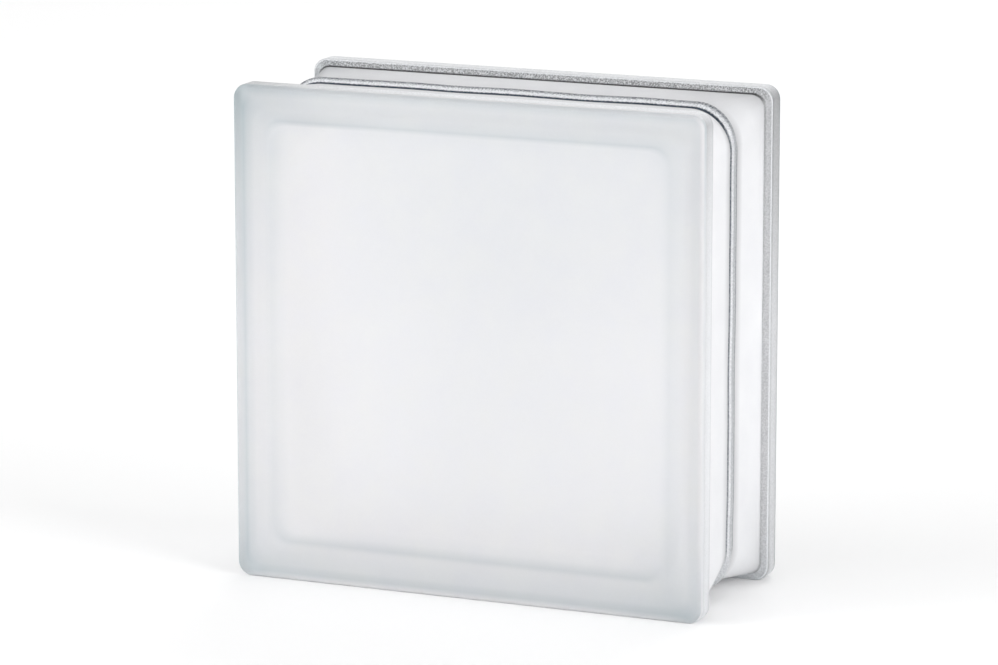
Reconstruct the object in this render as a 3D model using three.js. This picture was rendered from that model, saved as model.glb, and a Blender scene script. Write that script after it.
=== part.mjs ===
// A pressed hollow glass block. Two equal tray-shaped halves, each a satin face with a drafted
// wall behind it, are fused rim to rim and leave a bead along the seam.
// Millimetres, +Z up. The block stands on its flange edges and its front face looks along -Y.

import * as THREE from 'three';

// The block as sold.
const BLOCK_WIDTH = 190;
const BLOCK_HEIGHT = 190;
const BLOCK_DEPTH = 80;

// The flange round each face.
const FLANGE_THICKNESS = 9;
const FACE_EDGE_RADIUS = 2;
const FACE_CORNER_RADIUS = 4;
const FLANGE_BACK_RADIUS = 1;

// The mortar groove between the two flanges.
const GROOVE_STEP = 2.8;
const GROOVE_STEP_LEAN = 1.2;
const GROOVE_FOOT_RADIUS = 1.5;
const GROOVE_CORNER_RADIUS = 5;
const WALL_DRAFT_ANGLE = THREE.MathUtils.degToRad(2.5);

// The bead that the fused rims leave, outside and inside.
const SEAM_CORNER_RADIUS = 16;
const BEAD_WIDTH = 6;
const BEAD_HEIGHT = 1.3;
const INNER_BEAD_HEIGHT = 0.8;
const BEAD_CROWN_WIDTH = 2;
const BEAD_ROUNDING = 0.8;

// The hollow.
const FACE_THICKNESS = 8.5;
const WALL_THICKNESS = 7.5;
const HOLLOW_FILLET_RADIUS = 3.5;
const HOLLOW_CORNER_RADIUS = 8;
const HOLLOW_DRAFT_ANGLE = THREE.MathUtils.degToRad(2.5);

// Facets in one corner of the outline and in one fillet of the profile.
const CORNER_FACETS = 10;
const FILLET_FACETS = 4;

const HALF_DEPTH = BLOCK_DEPTH / 2;

/**
 * A corner of the half's profile. `inset` is how far it lies inside the block's outer edge, `depth`
 * how far behind the face, and `radius` is the corner radius of the outline that runs round there.
 */
function profileCorner(inset, depth, radius, fillet = 0) {
  return { at: new THREE.Vector3(inset, depth, radius), fillet };
}

/** Where a wall with this draft stands at a depth, counted from its place at another depth. */
function draftedInset(inset, draftAngle, travel) {
  return inset + Math.tan(draftAngle) * travel;
}

/** The profile's corners, from the rim of the flat face, round the outside, to the inner face. */
function halfProfile() {
  const flangeRadius = FACE_CORNER_RADIUS + FACE_EDGE_RADIUS;
  const footDepth = FLANGE_THICKNESS + GROOVE_STEP_LEAN;
  const beadFootDepth = HALF_DEPTH - BEAD_WIDTH / 2;
  const beadCrownDepth = HALF_DEPTH - BEAD_CROWN_WIDTH / 2;
  const beadFootInset = draftedInset(GROOVE_STEP, WALL_DRAFT_ANGLE, beadFootDepth - footDepth);
  const hollowInset = GROOVE_STEP + WALL_THICKNESS;
  const hollowRimInset = draftedInset(hollowInset, -HOLLOW_DRAFT_ANGLE, beadFootDepth - FACE_THICKNESS);
  const hollowRimRadius = HOLLOW_CORNER_RADIUS + hollowInset - hollowRimInset;

  return [
    profileCorner(FACE_EDGE_RADIUS, 0, FACE_CORNER_RADIUS),
    profileCorner(0, 0, flangeRadius, FACE_EDGE_RADIUS),
    profileCorner(0, FLANGE_THICKNESS, flangeRadius, FLANGE_BACK_RADIUS),
    profileCorner(GROOVE_STEP, footDepth, GROOVE_CORNER_RADIUS, GROOVE_FOOT_RADIUS),
    profileCorner(beadFootInset, beadFootDepth, SEAM_CORNER_RADIUS, BEAD_ROUNDING),
    profileCorner(beadFootInset - BEAD_HEIGHT, beadCrownDepth, SEAM_CORNER_RADIUS, BEAD_ROUNDING),
    profileCorner(beadFootInset - BEAD_HEIGHT, HALF_DEPTH, SEAM_CORNER_RADIUS),
    profileCorner(hollowRimInset + INNER_BEAD_HEIGHT, HALF_DEPTH, hollowRimRadius),
    profileCorner(hollowRimInset + INNER_BEAD_HEIGHT, beadCrownDepth, hollowRimRadius, BEAD_ROUNDING),
    profileCorner(hollowRimInset, beadFootDepth, hollowRimRadius, BEAD_ROUNDING),
    profileCorner(hollowInset, FACE_THICKNESS, HOLLOW_CORNER_RADIUS, HOLLOW_FILLET_RADIUS),
    profileCorner(hollowInset + HOLLOW_FILLET_RADIUS, FACE_THICKNESS, HOLLOW_CORNER_RADIUS),
  ];
}

/** The points of one fillet: an arc tangent to both legs of the corner, or the corner itself. */
function filletPoints(before, corner, after) {
  if (!corner.fillet) {
    return [corner.at];
  }
  const toBefore = before.at.clone().sub(corner.at);
  const toAfter = after.at.clone().sub(corner.at);
  const beforeLength = Math.hypot(toBefore.x, toBefore.y);
  const afterLength = Math.hypot(toAfter.x, toAfter.y);
  const cosine = (toBefore.x * toAfter.x + toBefore.y * toAfter.y) / (beforeLength * afterLength);
  const turn = Math.PI - Math.acos(cosine);
  const radius = Math.min(corner.fillet, Math.min(beforeLength, afterLength) / Math.tan(turn / 2));
  const leg = radius * Math.tan(turn / 2);
  const handle = leg - (4 / 3) * Math.tan(turn / 4) * radius;
  const along = (direction, length, distance) =>
    corner.at.clone().addScaledVector(direction, distance / length);
  const arc = new THREE.CubicBezierCurve3(
    along(toBefore, beforeLength, leg),
    along(toBefore, beforeLength, handle),
    along(toAfter, afterLength, handle),
    along(toAfter, afterLength, leg),
  );
  return arc.getPoints(FILLET_FACETS);
}

/** The stations of the loft: every point of the filleted profile, with no two alike. */
function profileStations(corners) {
  const stations = corners.flatMap((corner, i) => filletPoints(corners[i - 1], corner, corners[i + 1]));
  return stations.filter((at, i) => i === 0 || at.distanceTo(stations[i - 1]) > 1e-4);
}

/** The rounded rectangle that the block's section is at one station, about its own centre. */
function outlineAt(station) {
  const radius = station.z;
  const x = BLOCK_WIDTH / 2 - station.x - radius;
  const z = BLOCK_HEIGHT / 2 - station.x - radius;
  const outline = new THREE.Path();
  outline.absarc(x, z, radius, 0, Math.PI / 2);
  outline.absarc(-x, z, radius, Math.PI / 2, Math.PI);
  outline.absarc(-x, -z, radius, Math.PI, Math.PI * 1.5);
  outline.absarc(x, -z, radius, Math.PI * 1.5, Math.PI * 2);
  return outline.getPoints(CORNER_FACETS / 2);
}

/** Lofts one half through its stations and closes it with the two flats of the face. */
function halfGeometry() {
  const stations = profileStations(halfProfile());
  const rings = stations.map(outlineAt);
  const count = rings[0].length;
  const positions = rings.flatMap((ring, i) =>
    ring.flatMap((point) => [point.x, stations[i].y - HALF_DEPTH, point.y]));

  const indices = [];
  for (let i = 0; i < rings.length - 1; i += 1) {
    for (let j = 0; j < count; j += 1) {
      const next = (j + 1) % count;
      const here = i * count;
      const behind = here + count;
      indices.push(here + j, behind + next, here + next);
      indices.push(here + j, behind + j, behind + next);
    }
  }
  const last = (rings.length - 1) * count;
  for (const [a, b, c] of THREE.ShapeUtils.triangulateShape(rings[0], [])) {
    indices.push(a, b, c);
  }
  for (const [a, b, c] of THREE.ShapeUtils.triangulateShape(rings.at(-1), [])) {
    indices.push(last + a, last + c, last + b);
  }

  const geometry = new THREE.BufferGeometry();
  geometry.setAttribute('position', new THREE.Float32BufferAttribute(positions, 3));
  geometry.setIndex(indices);
  geometry.computeVertexNormals();
  return geometry;
}

/** One half, named, in satin glass. */
function glassHalf(name) {
  const glass = new THREE.MeshStandardMaterial({ color: 0xe4eaea, roughness: 0.45, metalness: 0 });
  const half = new THREE.Mesh(halfGeometry(), glass);
  half.name = name;
  return half;
}

const frontHalf = glassHalf('front_half');

const rearHalf = glassHalf('rear_half');
rearHalf.rotation.z = Math.PI;

const glassBlock = new THREE.Group();
glassBlock.position.z = BLOCK_HEIGHT / 2;
glassBlock.add(frontHalf, rearHalf);

export default glassBlock;
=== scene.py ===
"""A hollow satin glass block: the fused glass itself, its finishes, and a pale studio round it."""
import math

import bmesh
import bpy
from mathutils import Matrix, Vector, noise


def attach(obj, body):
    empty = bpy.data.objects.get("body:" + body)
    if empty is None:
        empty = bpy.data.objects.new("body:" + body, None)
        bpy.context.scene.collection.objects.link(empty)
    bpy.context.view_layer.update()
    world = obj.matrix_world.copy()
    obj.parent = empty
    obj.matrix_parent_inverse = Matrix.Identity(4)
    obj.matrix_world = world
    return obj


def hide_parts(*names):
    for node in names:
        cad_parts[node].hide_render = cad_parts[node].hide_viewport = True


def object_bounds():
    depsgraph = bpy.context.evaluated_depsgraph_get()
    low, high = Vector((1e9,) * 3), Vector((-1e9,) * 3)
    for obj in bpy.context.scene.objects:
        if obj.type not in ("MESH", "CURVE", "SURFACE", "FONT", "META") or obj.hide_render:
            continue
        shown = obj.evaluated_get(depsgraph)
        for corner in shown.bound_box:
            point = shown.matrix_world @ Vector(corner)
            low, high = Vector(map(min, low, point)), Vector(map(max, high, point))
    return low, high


MM = 0.001

# The profile of one half, in metres. It is the solids' own, but for the flange's corners, which are half
# a millimetre tighter.
FLANGE_THICKNESS = 9 * MM
FACE_EDGE_RADIUS = 2 * MM
FACE_CORNER_RADIUS = 3.5 * MM
FLANGE_BACK_RADIUS = 1 * MM
GROOVE_STEP = 2.8 * MM
GROOVE_STEP_LEAN = 1.2 * MM
GROOVE_FOOT_RADIUS = 1.5 * MM
GROOVE_CORNER_RADIUS = 5 * MM
WALL_DRAFT = math.tan(math.radians(2.5))
SEAM_CORNER_RADIUS = 16 * MM
BEAD_WIDTH = 6 * MM
BEAD_HEIGHT = 1.3 * MM
INNER_BEAD_HEIGHT = 0.8 * MM
BEAD_CROWN_WIDTH = 2 * MM
BEAD_ROUNDING = 0.8 * MM
FACE_THICKNESS = 8.5 * MM
WALL_THICKNESS = 7.5 * MM
HOLLOW_FILLET_RADIUS = 3.5 * MM
HOLLOW_CORNER_RADIUS = 8 * MM

# The fine crease where the bead rolls over onto the coating: its depth and width, the strip of wall that
# leads up to it, and the rounding of its lip and bottom.
CREASE_DEPTH = 0.3 * MM
CREASE_WIDTH = 0.65 * MM
CREASE_LEAD = 0.3 * MM
CREASE_ROUNDING = 0.1 * MM

# How far the fused seam wanders and swells, how long its waves are, and how much shorter those of its
# swelling are.
SEAM_WANDER = 0.5 * MM
SEAM_SWELL = 0.2 * MM
SEAM_WAVE = 42 * MM
SWELL_RATE = 1.6
WANDER_ORIGIN = (3.1, 0, 7.7)
SWELL_ORIGIN = (9.4, 2, 1.3)

# How steeply the seam's wander fades towards the flange.
SEAM_FADE_POWER = 4

# How much prouder the bead stands along the top and the foot, and how much lower down the sides.
BEAD_RISE = 0.7 * MM
BEAD_SLUMP = 0.55 * MM

# How finely the glass is meshed.
CORNER_STEPS = 14
SIDE_STEPS = 44
FILLET_STEPS = 7
WALL_STEPS = 5
WALL_STEP = 4 * MM
SAME_PLACE = 0.001 * MM
FACE_RING_INSETS = (0.3 * MM, 6 * MM, 12 * MM, 20 * MM, 30 * MM, 42 * MM)
LEAST_RING_RADIUS = 0.5 * MM

# The glass keeps a painted tone at every place, its painted light and shade: how light it reads there, 1
# where nothing dims it.

# The satin face's painted tone at each inset from the block's edge: along the top, along the foot, down
# the left and down the right. It is painted shade: the hollow's rim shows through as a soft painted line,
# softer still into the hollow below it, and the rims are painted darker than the middle.
RIM_TONES = (
    (40 * MM, 1.0, 1.0, 1.0, 1.0),
    (23 * MM, 1.0, 1.02, 0.985, 0.99),
    (19 * MM, 0.99, 0.955, 0.92, 0.985),
    (17 * MM, 0.98, 0.86, 0.885, 0.975),
    (15.5 * MM, 0.965, 0.79, 0.88, 0.945),
    (14.8 * MM, 0.97, 0.825, 0.905, 0.93),
    (13.8 * MM, 0.88, 0.91, 0.925, 0.9),
    (13 * MM, 0.775, 0.93, 0.955, 0.89),
    (12 * MM, 0.86, 0.925, 0.965, 0.905),
    (9 * MM, 0.945, 0.885, 0.955, 0.945),
    (6 * MM, 0.95, 0.85, 0.815, 1.0),
    (4.5 * MM, 0.96, 0.77, 0.66, 0.965),
    (3 * MM, 0.9, 0.74, 0.805, 0.955),
    (2 * MM, 0.83, 0.855, 0.865, 0.965),
    (1 * MM, 0.85, 1.06, 0.85, 1.035),
    (0.5 * MM, 0.85, 1.04, 0.61, 1.04),
    (0.25 * MM, 1.0, 0.9, 0.5, 1.05),
    (0, 1.0, 0.85, 0.47, 1.05),
)

# A painted glint on the rounding of the face's edge by its upper right corner, how much lighter it makes
# it at each inset: a thin painted highlight with a painted dark line outside it.
PAINTED_GLINT_TONES = (
    (2 * MM, 1.0),
    (1.3 * MM, 1.12),
    (0.75 * MM, 1.18),
    (0.4 * MM, 1.0),
    (0.2 * MM, 0.72),
    (0, 0.7),
)

# The plain satin face's tone, and how much painted shade darkens it over the flange's solid corners, over
# its upper right one, which has the least painted shade, and how far in that reaches.
FACE_TONE = 0.97
CORNER_SHADE = 0.44
UPPER_RIGHT_CORNER_SHADE = 0.02
CORNER_REACH = 18 * MM

# Painted light falloff over the face: how much darker the face grows from its middle up, and how much
# lighter from its middle to the left.
UPPER_SHADE = 0.11
LEFT_PAINTED_LIGHT = 0.055

# How much painted shade darkens the face over the middle of the hollow, where that is, and how far it
# reaches.
MIDDLE_SHADE = 0.055
MIDDLE_PLACE = (4 * MM, 6 * MM)
MIDDLE_REACH = 75 * MM

# How much lighter a painted band of light makes the face along the hollow's left wall, where that is, how
# wide, from how far in it shows, and how much of it is left in the lower half.
BAND_PAINTED_LIGHT = 0.08
BAND_PLACE = -61 * MM
BAND_WIDTH = 14 * MM
BAND_INSET = 14 * MM
BAND_LOWER_SHARE = 0.5

# How much painted shade darkens the face's left rim towards the top, and how far in.
LEFT_RIM_SHADE = 0.2
LEFT_RIM_WIDTH = 10 * MM

# The flange side's painted tone at each depth, its painted light and shade: along the top and the foot,
# and down the sides.
SIDE_TONES = (
    (1.6 * MM, 0.97, 0.92),
    (2.1 * MM, 1.0, 0.74),
    (2.5 * MM, 1.0, 0.66),
    (3.5 * MM, 0.99, 0.71),
    (4.5 * MM, 0.97, 0.73),
    (5.5 * MM, 0.98, 0.75),
    (7.5 * MM, 1.0, 0.78),
)

# How much painted shade darkens the flange's side by the front half's upper corners, how much more so on
# the left one, and how far that reaches. And how much darker painted shade makes it from the middle up on
# the rear half.
FRONT_SIDE_CORNER_SHADE = 0.35
LEFT_SIDE_CORNER_GAIN = 1.3
SIDE_CORNER_REACH = 30 * MM
REAR_SIDE_UPPER_SHADE = 0.44
REAR_SIDE_REACH = 90 * MM

# How much painted shade darkens the rear half: down its flange's sides, along its flange's top, in a thin
# painted dark line by its face and along the top of its wall. That line reaches a little past the rounding
# of the face's edge.
REAR_SIDE_SHADE = 0.16
REAR_LEDGE_SHADE = 0.09
REAR_EDGE_LINE = 0.4
REAR_EDGE_LINE_DEPTH = 1.2 * FACE_EDGE_RADIUS
REAR_TOP_SHADE = 0.08

# The flange's back edge: its painted tones round its fillet, how much painted light brightens it along the
# top of the front half, and how much painted shade darkens it in that half's upper left corner and in the
# lower corners.
BACK_EDGE_TONES = (0.78, 0.85, 0.85, 0.7)
BACK_EDGE_PAINTED_LIGHT = 0.15
BACK_EDGE_CORNER_SHADE = 0.6
LOW_EDGE_CORNER_SHADE = 0.25

# The groove's foot: its tones round its fillet, a painted dark line of shade in its crease, and how much
# of its darkness is left down the sides.
FOOT_TONES = (0.92, 0.8, 0.22, 0.01, 0.01, 0.05, 1.0)
SIDE_GROOVE_FOOT = 0.4

# How much of a painted dark line fades on the way down to the floor, and how much faster the groove's foot
# does.
LOW_LINE_FADE = 0.25
GROOVE_FOOT_FADE_POWER = 3

# How much painted shade darkens the groove's step down the sides, and how much painted light brightens it
# in its lower corners.
STEP_SIDE_SHADE = 0.12
STEP_FOOT_PAINTED_LIGHT = 0.8

# How much painted shade greys the coating in the groove's corners by the rear flange, how far that reaches
# across the groove and along it, and how much painted shade darkens the coating round the bend of the
# upper left corner.
GROOVE_CORNER_SHADE = 0.62
GROOVE_CORNER_REACH = 12 * MM
GROOVE_CORNER_SPREAD = 21 * MM
GROOVE_BEND_SHADE = 0.35

# The bead's painted tones, its painted light and shade: on its crease's lip and bottom, on its crown and
# at the seam.
CREASE_LIP_TONES = (0.6, 0.15)
CREASE_TONES = (0.05,)
CROWN_TONES = (0.62, 0.4, 0.36)
SEAM_TONES = (0.42,)

# The bead's slope from its foot up: how far out and how far on each place is, and its painted tone. A
# painted dark line turns into a painted highlight band.
BEAD_SLOPE = (
    (0.25 * MM, 0.38 * MM, 0.12),
    (0.45 * MM, 0.7 * MM, 1.4),
    (0.78 * MM, 1.2 * MM, 1.3),
)

# How much of the painted shade at the bead's foot and on its crown is left down the sides.
SIDE_BEAD_FOOT = 0.95
SIDE_BEAD_CROWN = 0.92

# From which tone up a place is on the bead's painted highlight band, how light that is down the sides, how
# much painted shade darkens it by the corners, and how far along that reaches.
HIGHLIGHT_BAND_TONE = 0.8
SIDE_BEAD_HIGHLIGHT = 0.68
BEAD_CORNER_SHADE = 0.2
BEAD_CORNER_REACH = 60 * MM

# How much painted shade darkens the bead's crown round the bend of the upper left corner. And the even
# grey of the bead along the foot, which replaces its painted lines there, with how soon it sets in there.
BEAD_BEND_SHADE = 0.75
LOW_BEAD_TONE = 0.72
LOW_BEAD_ONSET = 3

# The glass keeps its grit too: how strong the grain of its finish is, 1 along the top. Down the sides it
# is weaker, and less so down the rear flange's.
SIDE_GRIT = 0.35
REAR_SIDE_GRIT = 0.9

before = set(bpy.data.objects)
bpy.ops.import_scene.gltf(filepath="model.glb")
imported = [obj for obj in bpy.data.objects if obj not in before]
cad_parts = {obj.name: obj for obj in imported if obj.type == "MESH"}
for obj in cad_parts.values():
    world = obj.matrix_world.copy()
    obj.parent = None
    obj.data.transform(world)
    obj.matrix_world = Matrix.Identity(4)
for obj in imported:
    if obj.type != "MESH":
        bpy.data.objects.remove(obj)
cad_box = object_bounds()

# ---------------------------------------------------------------- the glass

WIDTH, DEPTH, HEIGHT = (high - low for low, high in zip(*cad_box))
HALF_DEPTH = DEPTH / 2
CENTRE = Vector((0, 0, HEIGHT / 2))


def drafted(inset, slope, travel):
    """Where a drafted wall stands after this travel into the block."""
    return inset + slope * travel


def corner(inset, depth, radius, fillet=0.0, finish="edge", tones=(1.0,)):
    """A corner of the half's profile: its place, outline radius and fillet, the finish that follows it,
    and how light the glass reads there in painted light and shade, as painted tones spread along the
    fillet."""
    return {"at": Vector((inset, depth, radius)), "fillet": fillet, "finish": finish, "tones": tones}


def face_station(inset):
    """A plain station on the flat of the satin face, where its painted tone turns."""
    reach = GROOVE_STEP + WALL_THICKNESS + HOLLOW_FILLET_RADIUS
    radius = FACE_CORNER_RADIUS + (HOLLOW_CORNER_RADIUS - FACE_CORNER_RADIUS) * min(1, inset / reach)
    return corner(inset, 0, radius, finish="satin")


def outer_corners():
    """The outside of one half, from the rim of its flat face to the crown of the seam bead."""
    flange_radius = FACE_CORNER_RADIUS + FACE_EDGE_RADIUS
    foot = FLANGE_THICKNESS + GROOVE_STEP_LEAN
    bead_foot = HALF_DEPTH - BEAD_WIDTH / 2
    bead_crown = HALF_DEPTH - BEAD_CROWN_WIDTH / 2
    bead_inset = drafted(GROOVE_STEP, WALL_DRAFT, bead_foot - foot)
    crease = bead_foot - CREASE_WIDTH
    crown_inset = bead_inset - BEAD_HEIGHT
    rim_insets = [inset for inset, *_ in RIM_TONES if inset > FACE_EDGE_RADIUS]
    side_depths = [depth for depth, *_ in SIDE_TONES if depth > FACE_EDGE_RADIUS]
    return [
        *map(face_station, rim_insets),
        corner(FACE_EDGE_RADIUS, 0, FACE_CORNER_RADIUS, finish="satin"),
        corner(0, 0, flange_radius, FACE_EDGE_RADIUS, "side"),
        *(corner(0, depth, flange_radius, finish="side") for depth in side_depths),
        corner(0, FLANGE_THICKNESS, flange_radius, FLANGE_BACK_RADIUS, "edge", BACK_EDGE_TONES),
        corner(GROOVE_STEP, foot, GROOVE_CORNER_RADIUS, GROOVE_FOOT_RADIUS, "coating", FOOT_TONES),
        corner(bead_inset, crease - CREASE_LEAD, SEAM_CORNER_RADIUS, finish="coating"),
        corner(bead_inset, crease, SEAM_CORNER_RADIUS, CREASE_ROUNDING, "bead", CREASE_LIP_TONES),
        corner(bead_inset + CREASE_DEPTH, bead_foot - CREASE_WIDTH / 4, SEAM_CORNER_RADIUS,
               CREASE_ROUNDING, "bead", CREASE_TONES),
        *(corner(bead_inset - out, bead_foot + on, SEAM_CORNER_RADIUS, finish="bead", tones=(tone,))
          for out, on, tone in BEAD_SLOPE),
        corner(crown_inset, bead_crown, SEAM_CORNER_RADIUS, BEAD_ROUNDING, "bead", CROWN_TONES),
        corner(crown_inset, HALF_DEPTH, SEAM_CORNER_RADIUS, finish="bead", tones=SEAM_TONES),
    ]


def hollow_corners():
    """The hollow of one half, from the rim of its inner face to the crown of the inner bead."""
    bead_foot = HALF_DEPTH - BEAD_WIDTH / 2
    bead_crown = HALF_DEPTH - BEAD_CROWN_WIDTH / 2
    inset = GROOVE_STEP + WALL_THICKNESS
    rim = drafted(inset, -WALL_DRAFT, bead_foot - FACE_THICKNESS)
    rim_radius = HOLLOW_CORNER_RADIUS + inset - rim
    crown = rim + INNER_BEAD_HEIGHT
    return [
        corner(inset + HOLLOW_FILLET_RADIUS, FACE_THICKNESS, HOLLOW_CORNER_RADIUS, finish="hollow"),
        corner(inset, FACE_THICKNESS, HOLLOW_CORNER_RADIUS, HOLLOW_FILLET_RADIUS, "hollow"),
        corner(rim, bead_foot, rim_radius, BEAD_ROUNDING, "hollow"),
        corner(crown, bead_crown, rim_radius, BEAD_ROUNDING, "hollow"),
        corner(crown, HALF_DEPTH, rim_radius, finish="hollow"),
    ]


def fillet_points(before, here, after):
    """An arc tangent to both legs of a profile corner, as a cubic curve's points."""
    if not here["fillet"]:
        return [here["at"]]
    at = here["at"]
    back = before["at"] - at
    on = after["at"] - at
    back_length = back.xy.length
    on_length = on.xy.length
    turn = math.pi - back.xy.angle(on.xy)
    leg = min(here["fillet"] * math.tan(turn / 2), back_length, on_length)
    radius = leg / math.tan(turn / 2)
    handle = leg - 4 / 3 * math.tan(turn / 4) * radius
    p0 = at + back * (leg / back_length)
    p1 = at + back * (handle / back_length)
    p2 = at + on * (handle / on_length)
    p3 = at + on * (leg / on_length)
    points = []
    for k in range(FILLET_STEPS + 1):
        t = k / FILLET_STEPS
        u = 1 - t
        points.append(p0 * u ** 3 + p1 * 3 * u * u * t + p2 * 3 * u * t * t + p3 * t ** 3)
    return points


def spread(tones, share):
    """The painted tone at this share of the way along a list of painted tones."""
    place = share * (len(tones) - 1)
    low = min(int(place), len(tones) - 1)
    high = min(low + 1, len(tones) - 1)
    return tones[low] + (tones[high] - tones[low]) * (place - low)


def stations(corners):
    """Every station of a profile: its place, its painted tone, and the finish of the glass that follows
    it.
    """
    found = []
    for i, here in enumerate(corners):
        before = corners[i - 1] if i else None
        after = corners[i + 1] if i + 1 < len(corners) else None
        points = fillet_points(before, here, after)
        before_finish = before["finish"] if before else here["finish"]
        for k, point in enumerate(points):
            tone = spread(here["tones"], k / max(1, len(points) - 1))
            if found and (found[-1][0] - point).length < SAME_PLACE:
                continue
            if found and k == 0:
                start, start_tone, _ = found[-1]
                steps = max(1, min(WALL_STEPS, round((point - start).length / WALL_STEP)))
                for s in range(1, steps):
                    share = s / steps
                    between = start_tone + (tone - start_tone) * share
                    found.append((start.lerp(point, share), between, before_finish))
            last = k == len(points) - 1
            found.append((point, tone, here["finish"] if last else before_finish))
    return found


def outline(inset, radius):
    """The rounded rectangle at this inset: points in X and Z with the way outward at each."""
    x = WIDTH / 2 - inset - radius
    z = HEIGHT / 2 - inset - radius
    points = []
    for quarter, (sx, sz) in enumerate(((1, 1), (-1, 1), (-1, -1), (1, -1))):
        for k in range(CORNER_STEPS + 1):
            angle = math.pi / 2 * (quarter + k / CORNER_STEPS)
            out = Vector((math.cos(angle), math.sin(angle)))
            points.append((Vector((sx * x, sz * z)) + out * radius, out))
        side = math.pi / 2 * (quarter + 1)
        out = Vector((math.cos(side), math.sin(side)))
        start = points[-1][0]
        nx, nz = ((-1, 1), (-1, -1), (1, -1), (1, 1))[quarter]
        end = Vector((nx * x, nz * z)) + out * radius
        for k in range(1, SIDE_STEPS):
            points.append((start.lerp(end, k / SIDE_STEPS), out))
    return points


def seam_share(depth):
    """How much of the seam's wander a place follows: all of it on the bead, none by the flange."""
    reach = HALF_DEPTH - FLANGE_THICKNESS - GROOVE_STEP_LEAN
    return max(0.0, 1 - abs(HALF_DEPTH - depth) / reach) ** SEAM_FADE_POWER


def bead_share(depth):
    """How far up the bead a place is: 0 at its foot and beyond, 1 on its crown."""
    foot = BEAD_WIDTH / 2
    crown = BEAD_CROWN_WIDTH / 2
    return min(1.0, max(0.0, (foot - HALF_DEPTH + depth) / (foot - crown)))


def seam_drift(point, out):
    """The wander of the seam across the groove, its swell outward, and the bead's own rise here."""
    wave = Vector((point.x, 0, point.y)) / SEAM_WAVE
    across = noise.noise(wave + Vector(WANDER_ORIGIN)) * SEAM_WANDER * 2
    outward = noise.noise(wave * SWELL_RATE + Vector(SWELL_ORIGIN)) * SEAM_SWELL * 2
    level = out.y ** 2
    rise = BEAD_RISE * level - BEAD_SLUMP * (1 - level)
    return across, outward, rise


def softened(tone, least, share):
    """A painted tone whose darkness fades to its least share where the share is nought."""
    return 1 - (1 - tone) * (least + (1 - least) * share)


def looked_up(table, place):
    """The tones a table has at this place: its rows run one way, each headed by its place."""
    ordered = sorted(table)
    low = high = ordered[0]
    for row in ordered:
        low, high = high, row
        if row[0] >= place:
            break
    reach = high[0] - low[0]
    share = min(1.0, max(0.0, (place - low[0]) / reach)) if reach else 1.0
    return [a + (b - a) * share for a, b in zip(low[1:], high[1:])]


def corner_share(point, reach):
    """How near a place is to the block's corners: 1 at a corner's very tip, fading over this reach."""
    return math.exp(-((WIDTH / 2 - abs(point.x)) + (HEIGHT / 2 - abs(point.y))) / reach)


def painted_face_falloff(inset, point, level):
    """How painted light and shade drift over the face: darker towards the top, over the middle of the
    hollow and up the left rim, and lighter to the left and along the hollow's left wall."""
    up = max(0.0, point.y / (HEIGHT / 2))
    left = max(0.0, -point.x / (WIDTH / 2))
    off = (point - Vector(MIDDLE_PLACE)) / MIDDLE_REACH
    middle = max(0.0, 1 - off.x ** 2) * max(0.0, 1 - off.y ** 2)
    band = math.exp(-((point.x - BAND_PLACE) / BAND_WIDTH) ** 2) * (BAND_LOWER_SHARE + up)
    band = min(1.0, band) if inset > BAND_INSET else 0.0
    rim = max(0.0, 1 - inset / LEFT_RIM_WIDTH) * up * (1 - level) if point.x < 0 else 0.0
    painted_light = LEFT_PAINTED_LIGHT * left + BAND_PAINTED_LIGHT * band
    return 1 + painted_light - UPPER_SHADE * up - MIDDLE_SHADE * middle - LEFT_RIM_SHADE * rim


def painted_face_tone(inset, point, out):
    """The satin face's painted tone: painted shade on its rims and over its solid corners, the upper right
    one the least shaded, with a painted glint on its edge."""
    level = out.y ** 2
    along_top, along_foot, down_left, down_right = looked_up(RIM_TONES, inset)
    across = along_top if out.y > 0 else along_foot
    down = down_right if out.x > 0 else down_left
    least_shaded = point.x > 0 and point.y > 0
    shade = UPPER_RIGHT_CORNER_SHADE if least_shaded else CORNER_SHADE
    tone = FACE_TONE * (level * across + (1 - level) * down)
    tone *= 1 - shade * corner_share(point, CORNER_REACH)
    if least_shaded and inset < FACE_EDGE_RADIUS:
        glint, = looked_up(PAINTED_GLINT_TONES, inset)
        tone *= 1 + (glint - 1) * corner_share(point, SIDE_CORNER_REACH)
    return tone * painted_face_falloff(inset, point, level)


def painted_side_tone(depth, point, out, rear):
    """The flange side's painted tone, with painted shade by its upper corners and over the rear half."""
    level = out.y ** 2
    across, down = looked_up(SIDE_TONES, depth)
    tone = level * across + (1 - level) * down
    if not rear:
        near = corner_share(point, SIDE_CORNER_REACH) if point.y > 0 else 0.0
        near *= LEFT_SIDE_CORNER_GAIN if point.x < 0 else 1 - level
        return tone * (1 - FRONT_SIDE_CORNER_SHADE * near)
    rear_painted_shade = REAR_LEDGE_SHADE if out.y > 0 else REAR_SIDE_SHADE
    rear_painted_shade = REAR_SIDE_SHADE + (rear_painted_shade - REAR_SIDE_SHADE) * level
    high = max(0.0, 1 - (HEIGHT / 2 - point.y) / REAR_SIDE_REACH)
    return tone * (1 - rear_painted_shade - REAR_SIDE_UPPER_SHADE * high * (1 - level))


def left_bend(out):
    """How far round its upper left corner an outline has bent: 1 halfway round it, 0 along its sides."""
    return (2 * out.x * out.y) ** 2 if out.x < 0 < out.y else 0.0


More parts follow.
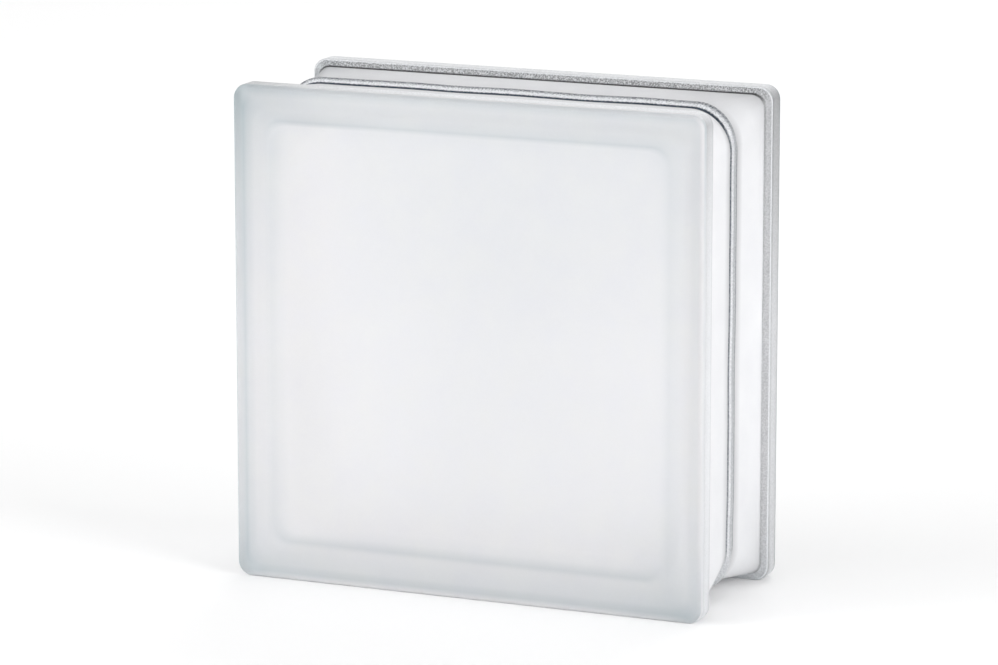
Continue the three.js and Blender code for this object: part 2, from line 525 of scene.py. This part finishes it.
def painted_groove_tone(depth, point, out, rear):
    """The coated wall's painted tone: painted shade round the bend of its upper left corner, and on the
    rear half along its top and in its corners. The step up to it is painted darker down the sides than
    along the top, and painted lighter in its lower corners."""
    top = max(0.0, out.y) ** 2
    near = corner_share(point, GROOVE_CORNER_SPREAD)
    step = 1 - STEP_SIDE_SHADE * (1 - top)
    if depth < FLANGE_THICKNESS + FLANGE_BACK_RADIUS / 2:
        return step
    if depth < FLANGE_THICKNESS + GROOVE_STEP_LEAN:
        return step + STEP_FOOT_PAINTED_LIGHT * near * max(0.0, -out.y)
    tone = 1 - GROOVE_BEND_SHADE * left_bend(out)
    if rear:
        run = math.exp(-(depth - FLANGE_THICKNESS) / GROOVE_CORNER_REACH)
        tone *= (1 - REAR_TOP_SHADE * top) * (1 - GROOVE_CORNER_SHADE * run * near)
    return tone


def painted_bead_tone(tone, depth, point, out, kept):
    """The bead's painted tone: its painted highlight band is dimmer down the sides and by the corners, its
    painted dark lines are weaker there, its crown has painted shade round the upper left bend, and along
    the foot it is an even grey."""
    top = max(0.0, out.y) ** 2
    share = bead_share(depth)
    least = SIDE_BEAD_FOOT + (SIDE_BEAD_CROWN - SIDE_BEAD_FOOT) * share
    if tone > HIGHLIGHT_BAND_TONE:
        tone *= SIDE_BEAD_HIGHLIGHT + (1 - SIDE_BEAD_HIGHLIGHT) * top
        tone *= 1 - BEAD_CORNER_SHADE * corner_share(point, BEAD_CORNER_REACH)
    tone *= 1 - BEAD_BEND_SHADE * left_bend(out) * share ** 2
    past_crease = depth > HALF_DEPTH - BEAD_WIDTH / 2 - CREASE_WIDTH
    low = min(1.0, max(0.0, -out.y) * LOW_BEAD_ONSET) if past_crease else 0.0
    return softened(tone, least * kept, top) * (1 - low) + LOW_BEAD_TONE * low


def painted_back_edge_tone(tone, point, out, rear):
    """The painted tone of the flange's back edge: painted shade in its lower corners and in the front
    half's upper left one, and painted light along that half's top."""
    near = corner_share(point, CORNER_REACH)
    if point.y < 0:
        return tone * (1 - LOW_EDGE_CORNER_SHADE * near)
    if rear:
        return tone
    tone += BACK_EDGE_PAINTED_LIGHT * max(0.0, out.y) ** 2
    return tone * (1 - BACK_EDGE_CORNER_SHADE * near) if point.x < 0 else tone


def painted_tone_here(tone, place, point, out, rear):
    """A station's painted tone, its painted light and shade, at one place on its ring. Its painted dark
    lines are weaker down the sides, and weakest near the floor."""
    inset, depth, _ = place
    kept = 1 - LOW_LINE_FADE * (0.5 - point.y / HEIGHT)
    if depth > HALF_DEPTH - BEAD_WIDTH:
        return painted_bead_tone(tone, depth, point, out, kept)
    if depth > FLANGE_THICKNESS:
        least = SIDE_GROOVE_FOOT * kept ** GROOVE_FOOT_FADE_POWER
        return softened(tone, least, max(0.0, out.y) ** 2) * painted_groove_tone(depth, point, out, rear)
    if depth > FLANGE_THICKNESS - 2 * FLANGE_BACK_RADIUS:
        tone = painted_back_edge_tone(tone, point, out, rear)
    if rear and inset < FACE_EDGE_RADIUS and depth < REAR_EDGE_LINE_DEPTH:
        tone *= 1 - REAR_EDGE_LINE
    if depth > FACE_EDGE_RADIUS / 2:
        return tone * painted_side_tone(depth, point, out, rear)
    return tone * painted_face_tone(inset, point, out)


def grit_here(place, out, rear):
    """How strong the grit is at one place on a station's ring. It is even over the flat of the face."""
    inset, depth, _ = place
    if inset > FACE_EDGE_RADIUS and depth == 0:
        return SIDE_GRIT
    least = REAR_SIDE_GRIT if rear and depth < FLANGE_THICKNESS else SIDE_GRIT
    return least + (1 - least) * max(0.0, out.y) ** 2


def ring(bm, place, tone, rear, clear):
    """One ring of vertices at this station, on the front or the rear half. A clear skin has no painted
    tones.
    """
    made = []
    inset, depth, radius = place
    # The tone layer holds the painted light and shade, and the grit layer the strength of the grain.
    tones = bm.verts.layers.float["tone"]
    grits = bm.verts.layers.float["grit"]
    share = seam_share(depth)
    for point, out in outline(inset, radius):
        across, outward, rise = seam_drift(point, out)
        flat = point + out * (outward * share + rise * bead_share(depth))
        y = (HALF_DEPTH - depth) * (1 if rear else -1) + across * share
        vertex = bm.verts.new((flat.x, y, flat.y + HEIGHT / 2))
        vertex[tones] = 1.0 if clear else painted_tone_here(tone, place, point, out, rear)
        vertex[grits] = grit_here(place, out, rear)
        made.append(vertex)
    return made


def bridge(bm, a, b, slot):
    """A band of quads between two rings."""
    for i in range(len(a)):
        j = (i + 1) % len(a)
        face = bm.faces.new((a[i], b[i], b[j], a[j]))
        face.material_index = slot
        face.smooth = True


def skin(bm, corners, finishes, rear, clear):
    """One half of a skin, from the middle of its flat to the seam. Returns the ring at the seam."""
    places = stations(corners)
    first, tone, finish = places[0]
    slot = finishes.index(finish)
    middle = WIDTH / 2 - first.x
    rings = []
    for step in reversed([g for g in FACE_RING_INSETS if g < middle]):
        place = (first.x + step, first.y, max(LEAST_RING_RADIUS, first.z - step))
        rings.append((ring(bm, place, tone, rear, clear), slot))
    face = bm.faces.new(rings[0][0])
    face.material_index = slot
    for place, tone, finish in places:
        rings.append((ring(bm, place, tone, rear, clear), finishes.index(finish)))
    for (a, mark), (b, _) in zip(rings, rings[1:]):
        bridge(bm, a, b, mark)
    return rings[-1][0]


def closed_skin(bm, corners, finishes, clear):
    """A whole closed skin: both halves, joined at the seam."""
    front = skin(bm, corners, finishes, False, clear)
    rear = skin(bm, corners, finishes, True, clear)
    bmesh.ops.weld_verts(bm, targetmap=dict(zip(rear, front)))


def glass_block(finishes):
    """The fused block: its outer skin, and the skin of the sealed hollow facing into the air there."""
    bm = bmesh.new()
    # The tone layer holds the glass's painted light and shade.
    bm.verts.layers.float.new("tone")
    bm.verts.layers.float.new("grit")
    closed_skin(bm, outer_corners(), finishes, clear=False)
    bmesh.ops.recalc_face_normals(bm, faces=bm.faces[:])
    outer = set(bm.faces)
    closed_skin(bm, hollow_corners(), finishes, clear=True)
    hollow = [f for f in bm.faces if f not in outer]
    bmesh.ops.recalc_face_normals(bm, faces=hollow)
    bmesh.ops.reverse_faces(bm, faces=hollow)
    mesh = bpy.data.meshes.new("glass_block")
    bm.to_mesh(mesh)
    bm.free()
    block = bpy.data.objects.new("glass_block", mesh)
    bpy.context.collection.objects.link(block)
    return block


# ---------------------------------------------------------------- shared surface effects

# The two colours that a colour mix node takes, and the one that it gives, by place.
COLOUR_A = 6
COLOUR_B = 7
MIXED = 2

# The part of a noise's range over which the grain rises from its hollows to its crests, and over which
# one cloudy patch turns into the next.
GRAIN_BOUNDS = (0.42, 0.58)
PATCH_BOUNDS = (0.3, 0.7)

GLASS_INDEX = 1.52


def effect(name, inputs, outputs):
    """An empty node group for an effect on a surface, with named inputs and outputs."""
    tree = bpy.data.node_groups.new(name, "ShaderNodeTree")
    for label, value in inputs.items():
        kind = "NodeSocketColor" if isinstance(value, tuple) else "NodeSocketFloat"
        tree.interface.new_socket(label, in_out="INPUT", socket_type=kind).default_value = value
    for label, kind in outputs.items():
        tree.interface.new_socket(label, in_out="OUTPUT", socket_type=kind)
    start = tree.nodes.new("NodeGroupInput")
    end = tree.nodes.new("NodeGroupOutput")
    return tree, start, end


def node(tree, kind, settings=(), **values):
    """A node with its settings, and with a plain value or a link on each named input."""
    made = tree.nodes.new(kind)
    for key, value in dict(settings).items():
        setattr(made, key, value)
    for label, value in values.items():
        feed(tree, made.inputs[label.replace("_", " ")], value)
    return made


def feed(tree, socket, value):
    """Puts a plain value on a socket, or links an output to it."""
    if isinstance(value, bpy.types.NodeSocket):
        tree.links.new(value, socket)
    else:
        socket.default_value = value


def grain_effect():
    """The fine relief of pressed or blasted glass: a height in metres, and a mask of its crests."""
    tree, start, end = effect(
        "surface_grain",
        {"Grain Size": 1 * MM, "Depth": 0.02 * MM, "Roughness": 0.6},
        {"Height": "NodeSocketFloat", "Mask": "NodeSocketFloat"})
    place = node(tree, "ShaderNodeTexCoord")
    scale = node(tree, "ShaderNodeMath", {"operation": "DIVIDE"})
    scale.inputs[0].default_value = 1
    feed(tree, scale.inputs[1], start.outputs["Grain Size"])
    bumps = node(tree, "ShaderNodeTexNoise", Vector=place.outputs["Object"], Scale=scale.outputs[0],
                 Detail=3.0, Roughness=start.outputs["Roughness"])
    height = node(tree, "ShaderNodeMath", {"operation": "MULTIPLY"})
    feed(tree, height.inputs[0], bumps.outputs["Fac"])
    feed(tree, height.inputs[1], start.outputs["Depth"])
    mask = node(tree, "ShaderNodeMapRange", Value=bumps.outputs["Fac"], From_Min=GRAIN_BOUNDS[0],
                From_Max=GRAIN_BOUNDS[1])
    feed(tree, end.inputs["Height"], height.outputs[0])
    feed(tree, end.inputs["Mask"], mask.outputs["Result"])
    return tree


def cloud_effect():
    """The soft unevenness of a finish: one tone drifting into another over broad patches."""
    tree, start, end = effect(
        "cloudy_tone",
        {"Patch Size": 40 * MM, "Tone": (1.0, 1.0, 1.0, 1.0), "Other Tone": (0.9, 0.9, 0.9, 1.0)},
        {"Colour": "NodeSocketColor", "Mask": "NodeSocketFloat"})
    place = node(tree, "ShaderNodeTexCoord")
    scale = node(tree, "ShaderNodeMath", {"operation": "DIVIDE"})
    scale.inputs[0].default_value = 1
    feed(tree, scale.inputs[1], start.outputs["Patch Size"])
    patches = node(tree, "ShaderNodeTexNoise", Vector=place.outputs["Object"], Scale=scale.outputs[0],
                   Detail=2.0)
    mask = node(tree, "ShaderNodeMapRange", Value=patches.outputs["Fac"], From_Min=PATCH_BOUNDS[0],
                From_Max=PATCH_BOUNDS[1])
    tone = node(tree, "ShaderNodeMix", {"data_type": "RGBA"})
    feed(tree, tone.inputs["Factor"], mask.outputs["Result"])
    feed(tree, tone.inputs[COLOUR_A], start.outputs["Tone"])
    feed(tree, tone.inputs[COLOUR_B], start.outputs["Other Tone"])
    feed(tree, end.inputs["Colour"], tone.outputs[MIXED])
    feed(tree, end.inputs["Mask"], mask.outputs["Result"])
    return tree


GRAIN = grain_effect()
CLOUD = cloud_effect()


# ---------------------------------------------------------------- finishes

def new_material(name):
    """An empty node material with its output."""
    material = bpy.data.materials.new(name)
    material.use_nodes = True
    material.node_tree.nodes.clear()
    output = material.node_tree.nodes.new("ShaderNodeOutputMaterial")
    return material, material.node_tree, output


def placed(tree, group, **values):
    """A shared effect placed in a material with its own values."""
    made = tree.nodes.new("ShaderNodeGroup")
    made.node_tree = group
    for label, value in values.items():
        feed(tree, made.inputs[label.replace("_", " ")], value)
    return made


def glass_finish(name, colour, other, patch, rough, grain, relief, crests, through, ragged=0.0,
                 painted_shade_colour=(0.0, 0.0, 0.0)):
    """A glass finish. It drifts between two colours over patches of this size, and turns to its painted
    shade colour, with ragged bounds, where the glass's painted tone falls to nought. The crests of its
    grain are rougher, and darker by their own tone. A share of the light goes through."""
    material, tree, output = new_material(name)
    cloud = placed(tree, CLOUD, Patch_Size=patch, Tone=(*colour, 1), Other_Tone=(*other, 1))
    grained = placed(tree, GRAIN, Grain_Size=grain, Depth=relief)
    strength = node(tree, "ShaderNodeAttribute", {"attribute_name": "grit"})
    grit = node(tree, "ShaderNodeMath", {"operation": "MULTIPLY"})
    feed(tree, grit.inputs[0], grained.outputs["Mask"])
    feed(tree, grit.inputs[1], strength.outputs["Fac"])
    # The tone attribute carries the painted light and shade kept on the mesh.
    painted_tone_node = node(tree, "ShaderNodeAttribute", {"attribute_name": "tone"})
    bounds = node(tree, "ShaderNodeMath", {"operation": "MULTIPLY_ADD"})
    feed(tree, bounds.inputs[0], grit.outputs[0])
    bounds.inputs[1].default_value = -ragged
    feed(tree, bounds.inputs[2], painted_tone_node.outputs["Fac"])
    shade = node(tree, "ShaderNodeMix", {"data_type": "RGBA"})
    feed(tree, shade.inputs["Factor"], bounds.outputs[0])
    feed(tree, shade.inputs[COLOUR_A], (*painted_shade_colour, 1))
    feed(tree, shade.inputs[COLOUR_B], (1, 1, 1, 1))
    shaded = node(tree, "ShaderNodeMix", {"data_type": "RGBA", "blend_type": "MULTIPLY"})
    shaded.inputs["Factor"].default_value = 1
    feed(tree, shaded.inputs[COLOUR_A], cloud.outputs["Colour"])
    feed(tree, shaded.inputs[COLOUR_B], shade.outputs[MIXED])
    grainy = node(tree, "ShaderNodeMix", {"data_type": "RGBA", "blend_type": "MULTIPLY"})
    feed(tree, grainy.inputs["Factor"], grit.outputs[0])
    feed(tree, grainy.inputs[COLOUR_A], shaded.outputs[MIXED])
    feed(tree, grainy.inputs[COLOUR_B], (crests, crests, crests, 1))
    matte = node(tree, "ShaderNodeMapRange", Value=grained.outputs["Mask"], To_Min=rough[0],
                 To_Max=rough[1])
    bump = node(tree, "ShaderNodeBump", Height=grained.outputs["Height"], Distance=1.0)
    shader = node(tree, "ShaderNodeBsdfPrincipled", IOR=GLASS_INDEX, Transmission_Weight=through,
                  Base_Color=grainy.outputs[MIXED], Roughness=matte.outputs["Result"],
                  Normal=bump.outputs["Normal"])
    tree.links.new(shader.outputs[0], output.inputs["Surface"])
    return material


def plain(name, colour, roughness):
    """A plain matt material, for the studio."""
    material, tree, output = new_material(name)
    shader = node(tree, "ShaderNodeBsdfPrincipled", Base_Color=(*colour, 1), Roughness=roughness)
    tree.links.new(shader.outputs[0], output.inputs["Surface"])
    return material


FINISHES = {
    "satin": glass_finish(
        "satin_face", (1.0, 0.995, 1.0), (0.978, 0.974, 1.0), patch=12 * MM, rough=(0.5, 0.56),
        grain=0.6 * MM, relief=0.02 * MM, crests=0.97, through=0.5, painted_shade_colour=(0.0, 0.14, 0.18)),
    "side": glass_finish(
        "satin_edge", (0.955, 0.97, 0.995), (0.925, 0.94, 0.97), patch=8 * MM, rough=(0.28, 0.36),
        grain=0.6 * MM, relief=0.03 * MM, crests=0.82, through=0.2),
    "edge": glass_finish(
        "pressed_edge", (0.9, 0.905, 0.925), (0.82, 0.83, 0.855), patch=5 * MM, rough=(0.28, 0.45),
        grain=0.6 * MM, relief=0.09 * MM, crests=0.25, through=0.6),
    "coating": glass_finish(
        "edge_coating", (0.93, 0.933, 0.95), (0.89, 0.893, 0.915), patch=14 * MM, rough=(0.6, 0.75),
        grain=0.5 * MM, relief=0.01 * MM, crests=0.99, through=0.35),
    "bead": glass_finish(
        "seam_bead", (0.97, 0.975, 0.995), (0.9, 0.915, 0.945), patch=8 * MM, rough=(0.28, 0.35),
        grain=0.6 * MM, relief=0.04 * MM, crests=0.95, through=0.3, ragged=0.45,
        painted_shade_colour=(0.012, 0.025, 0.045)),
    "hollow": glass_finish(
        "hollow_skin", (0.84, 0.84, 0.85), (0.83, 0.83, 0.845), patch=30 * MM, rough=(0.05, 0.08),
        grain=4 * MM, relief=0.01 * MM, crests=1.0, through=1.0),
}

block = glass_block(list(FINISHES))
for finish in FINISHES.values():
    block.data.materials.append(finish)
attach(block, "root")
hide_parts("front_half", "rear_half")


# ---------------------------------------------------------------- studio

SKY = 0.66
FLOOR_SIZE = 12
FLOOR_CENTRE = (0, 2, 0)
FLOOR_COLOUR = (0.97, 0.97, 0.97)
FLOOR_ROUGHNESS = 0.8

# The soft square lights: where each is, what it faces, its side in metres and its power in watts.
SOFTBOXES = {
    "left_softbox": ((-2.4, -1.4, 1.0), CENTRE, 1.8, 36),
    "low_left_softbox": ((-1.5, -2.4, 0.4), CENTRE, 1.4, 25),
    "right_softbox": ((2.6, -0.6, 0.9), CENTRE, 1.8, 47),
    "low_rear_softbox": ((-1.2, 2.7, 0.8), CENTRE, 1.4, 1.8),
    "backdrop_softbox": ((0, 1.7, 2.2), (0, 1.7, 0), 1.2, 13.5),
}

# The camera: how far round to the right it stands, how far up, and how far off. It aims a little to the
# left of the block's middle and below it, through a long lens.
CAMERA_AZIMUTH = math.radians(23.459)
CAMERA_HEIGHT = math.radians(11.667)
CAMERA_DISTANCE = 1875.5 * MM
AIM_TO_THE_LEFT = 2.929 * MM
AIM_BELOW = 0.142 * MM
SENSOR_WIDTH = 36
LENS = 178.6545


def studio():
    """A pale floor, a dim grey sky and the light bounces that thick glass needs."""
    scene = bpy.context.scene
    bpy.ops.mesh.primitive_plane_add(size=FLOOR_SIZE, location=FLOOR_CENTRE)
    floor = bpy.context.object
    floor.name = "floor"
    floor.data.materials.append(plain("pale_floor", FLOOR_COLOUR, FLOOR_ROUGHNESS))

    world = bpy.data.worlds.new("pale_sky")
    world.use_nodes = True
    background = world.node_tree.nodes["Background"]
    background.inputs["Color"].default_value = (1, 1, 1, 1)
    background.inputs["Strength"].default_value = SKY
    scene.world = world
    scene.view_settings.view_transform = "Standard"
    scene.cycles.max_bounces = 32
    scene.cycles.transmission_bounces = 24
    scene.cycles.glossy_bounces = 12
    scene.cycles.diffuse_bounces = 6


def area_light(name, place, aim, size, power):
    """A soft square light."""
    data = bpy.data.lights.new(name, "AREA")
    data.shape = "SQUARE"
    data.size = size
    data.energy = power
    light = bpy.data.objects.new(name, data)
    light.location = place
    light.rotation_euler = (Vector(aim) - Vector(place)).to_track_quat("-Z", "Y").to_euler()
    bpy.context.collection.objects.link(light)


def camera():
    """The view of the block: its front and its right side, from a little above."""
    right = Vector((math.cos(CAMERA_AZIMUTH), math.sin(CAMERA_AZIMUTH), 0))
    towards = Vector((math.sin(CAMERA_AZIMUTH), -math.cos(CAMERA_AZIMUTH), 0))
    up = Vector((0, 0, 1))
    aim = CENTRE - right * AIM_TO_THE_LEFT - up * AIM_BELOW
    back = towards * math.cos(CAMERA_HEIGHT) + up * math.sin(CAMERA_HEIGHT)
    data = bpy.data.cameras.new("camera")
    data.sensor_width = SENSOR_WIDTH
    data.lens = LENS
    eye = bpy.data.objects.new("camera", data)
    eye.location = aim + back * CAMERA_DISTANCE
    eye.rotation_euler = (-back).to_track_quat("-Z", "Y").to_euler()
    bpy.context.collection.objects.link(eye)
    bpy.context.scene.camera = eye


studio()
for name, box in SOFTBOXES.items():
    area_light(name, *box)
camera()
